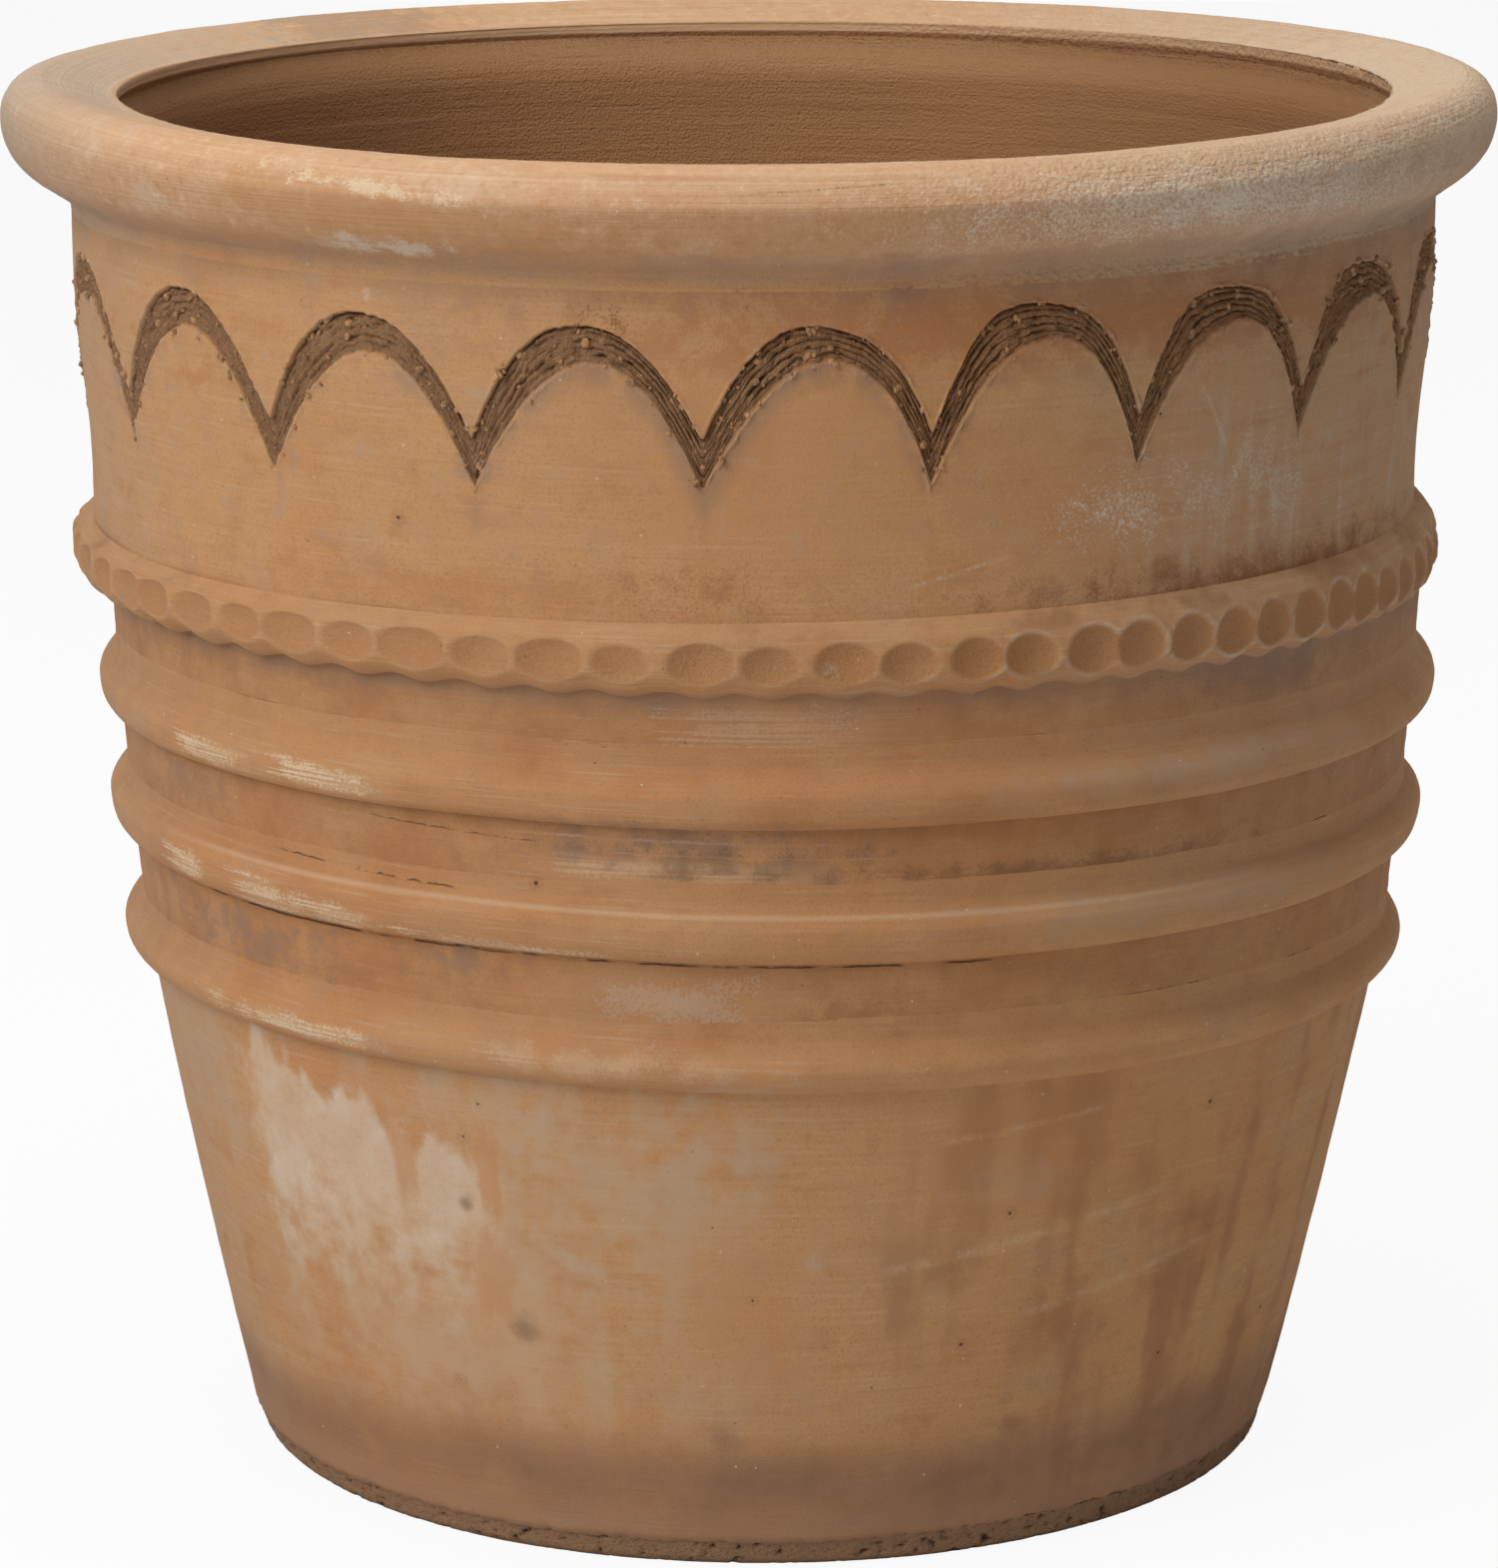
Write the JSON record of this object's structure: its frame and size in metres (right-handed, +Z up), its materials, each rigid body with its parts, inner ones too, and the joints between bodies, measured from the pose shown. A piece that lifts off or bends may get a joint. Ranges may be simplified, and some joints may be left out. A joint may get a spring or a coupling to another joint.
{
  "type": "flower pot",
  "caption": "Tapered round terracotta flower pot with a rolled rim, combed scallop garland, thumbed band and plain applied rings; open at the top, with a drain hole in its floor.",
  "frame": {"origin": "centre of the foot, on the ground", "axes": "+Z up along the pot's axis; the front, as pictured, faces -Y"},
  "size_m": [0.499, 0.499, 0.466],
  "materials": {
    "terracotta": "unglazed, matt, wheel-turned, weathered",
    "terracotta_rim": "unglazed, matt, smoothed, with lime bloom",
    "terracotta_floor": "unglazed, matt, coarse"
  },
  "bodies": {
    "root": {"base_slab": "terracotta_floor", "lower_wall": "terracotta", "middle_wall": "terracotta", "upper_wall": "terracotta", "rim_roll": "terracotta_rim", "thumbed_band": "terracotta", "upper_ring": "terracotta", "middle_ring": "terracotta", "lower_ring": "terracotta"}
  },
  "joints": []
}
